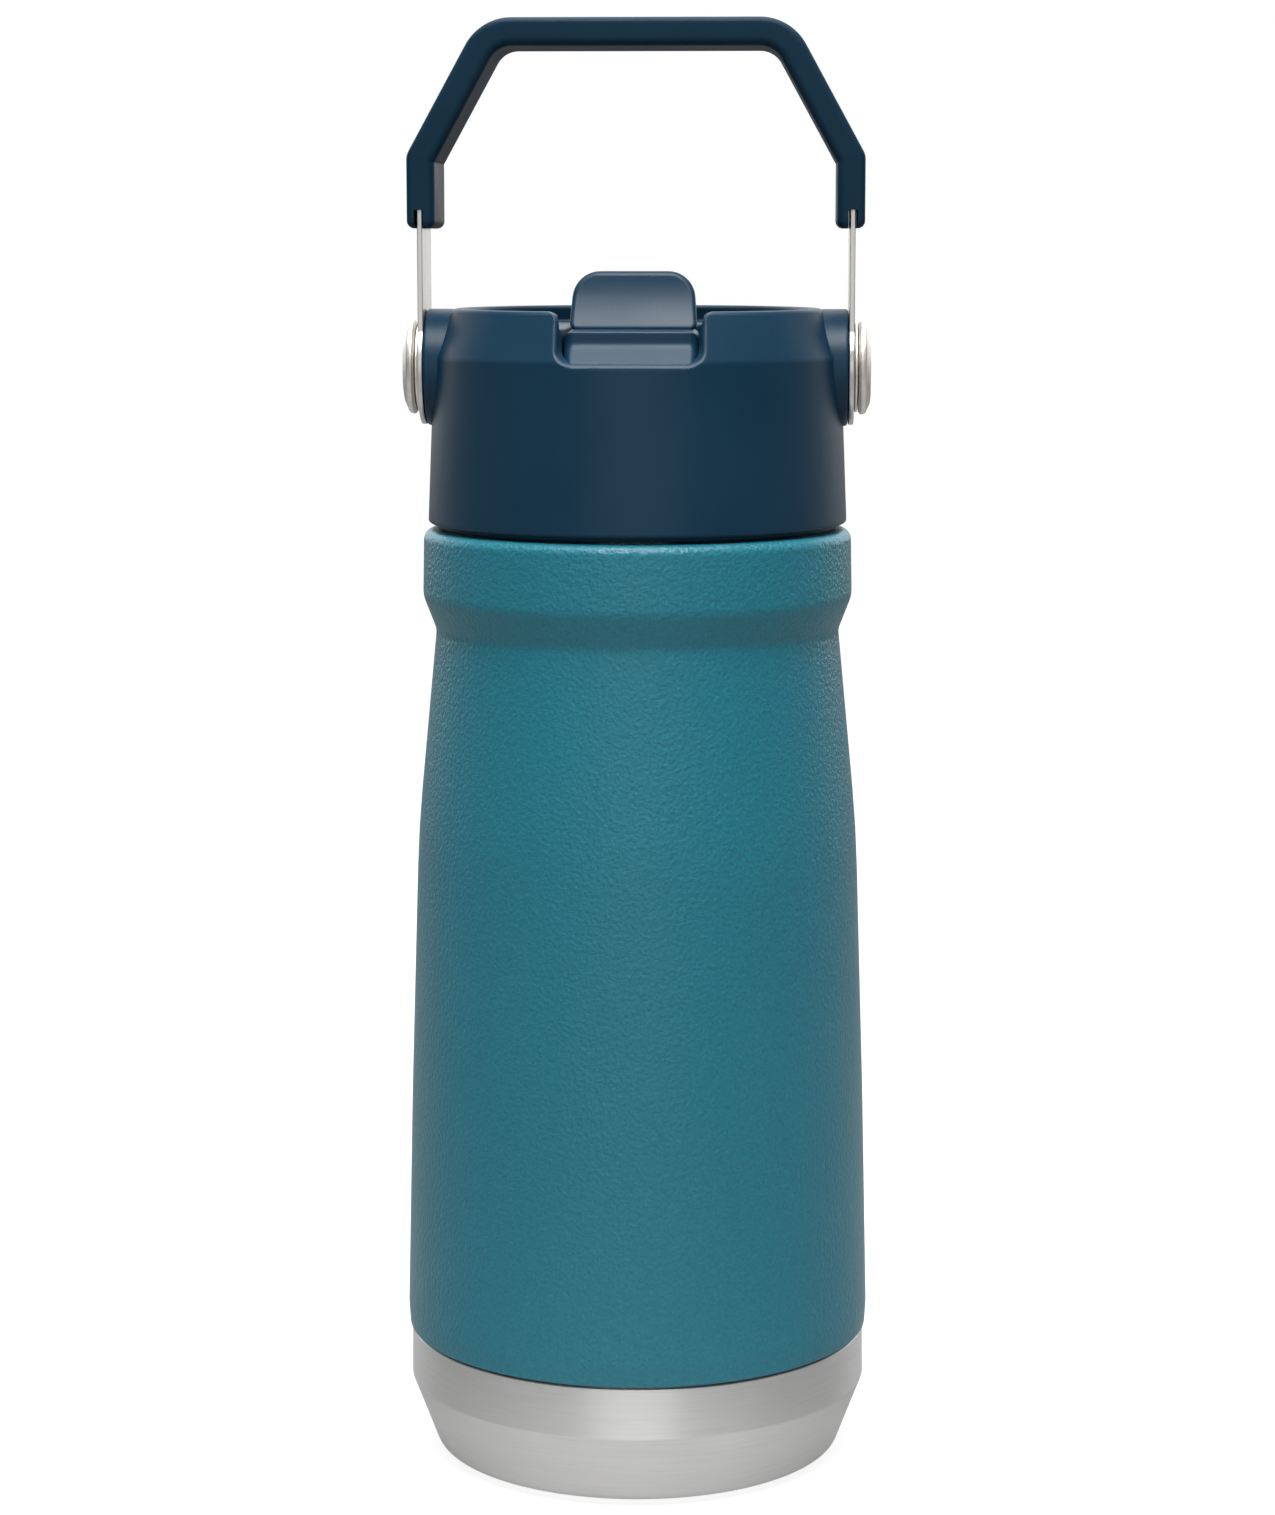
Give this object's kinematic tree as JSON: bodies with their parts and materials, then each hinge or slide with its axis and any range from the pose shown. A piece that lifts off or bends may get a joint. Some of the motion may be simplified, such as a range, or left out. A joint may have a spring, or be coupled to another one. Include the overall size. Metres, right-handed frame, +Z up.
{
  "type": "insulated water bottle",
  "caption": "Vacuum-insulated bottle with a tapered painted body, bare steel base, screw-on lid, flip-up straw spout and a swinging bail handle.",
  "frame": {"origin": "centre of the base's resting plane, on the bottle's axis", "axes": "+Z up along the bottle's axis; -Y is the front, where the thumb tab is; the handle's pivots are on +X and -X"},
  "size_m": [0.076, 0.076, 0.2329],
  "materials": {
    "teal_paint": "fine orange-peel powder coat",
    "bare_steel": "satin stainless steel brushed round the base",
    "bright_steel": "bright electropolished stainless steel",
    "strap_steel": "sheet stainless steel, brushed along its length",
    "rivet_steel": "tumbled stainless steel",
    "copper_foil": "thin copper foil",
    "getter_alloy": "sintered grey alloy",
    "navy_plastic": "fine matte moulded navy plastic",
    "navy_grip": "fine matte moulded navy plastic",
    "silicone": "translucent grey food silicone",
    "straw_plastic": "smoke-grey polypropylene tube",
    "black_nylon": "black nylon"
  },
  "bodies": {
    "bottle": {"outer_shell": "teal_paint", "base_cup": "bare_steel", "inner_vessel": "bright_steel", "radiation_foil": "copper_foil", "getter": "getter_alloy", "vacuum_plug": "bright_steel"},
    "lid_carriage": {"lid_gasket": "silicone"},
    "lid": {"lid_collar": "navy_plastic", "lid_plug": "navy_plastic", "port_seal": "silicone", "vent_valve": "silicone", "straw_sleeve": "silicone", "straw": "straw_plastic", "spout_pin_left": "bright_steel", "spout_pin_right": "bright_steel", "pivot_spacer_left": "black_nylon", "pivot_spacer_right": "black_nylon", "pivot_washer_left": "rivet_steel", "pivot_washer_right": "rivet_steel", "pivot_rivet_left": "rivet_steel", "pivot_rivet_right": "rivet_steel"},
    "spout": {"flip_spout": "navy_plastic"},
    "handle": {"grip": "navy_grip", "handle_strap_left": "strap_steel", "handle_strap_right": "strap_steel"}
  },
  "joints": [
    {"name": "lid_lift", "type": "slide", "parent": "bottle", "child": "lid_carriage", "axis": [0, 0, 1], "range_m": [0, 0.015]},
    {"name": "lid_turn", "type": "hinge", "parent": "lid_carriage", "child": "lid", "pos_m": [0, 0, 0.1536], "axis": [0, 0, 1], "range_deg": [0, 540]},
    {"name": "spout_flip", "type": "hinge", "parent": "lid", "child": "spout", "pos_m": [0, 0, 0.176], "axis": [-1, 0, 0], "range_deg": [0, 90]},
    {"name": "handle_swing", "type": "hinge", "parent": "lid", "child": "handle", "pos_m": [0, 0, 0.1783], "axis": [1, 0, 0], "range_deg": [-125, 125]}
  ],
  "couplings": [
    {"joint": "lid_lift", "follows": "lid_turn", "m_per_rad": 0.0015915}
  ]
}
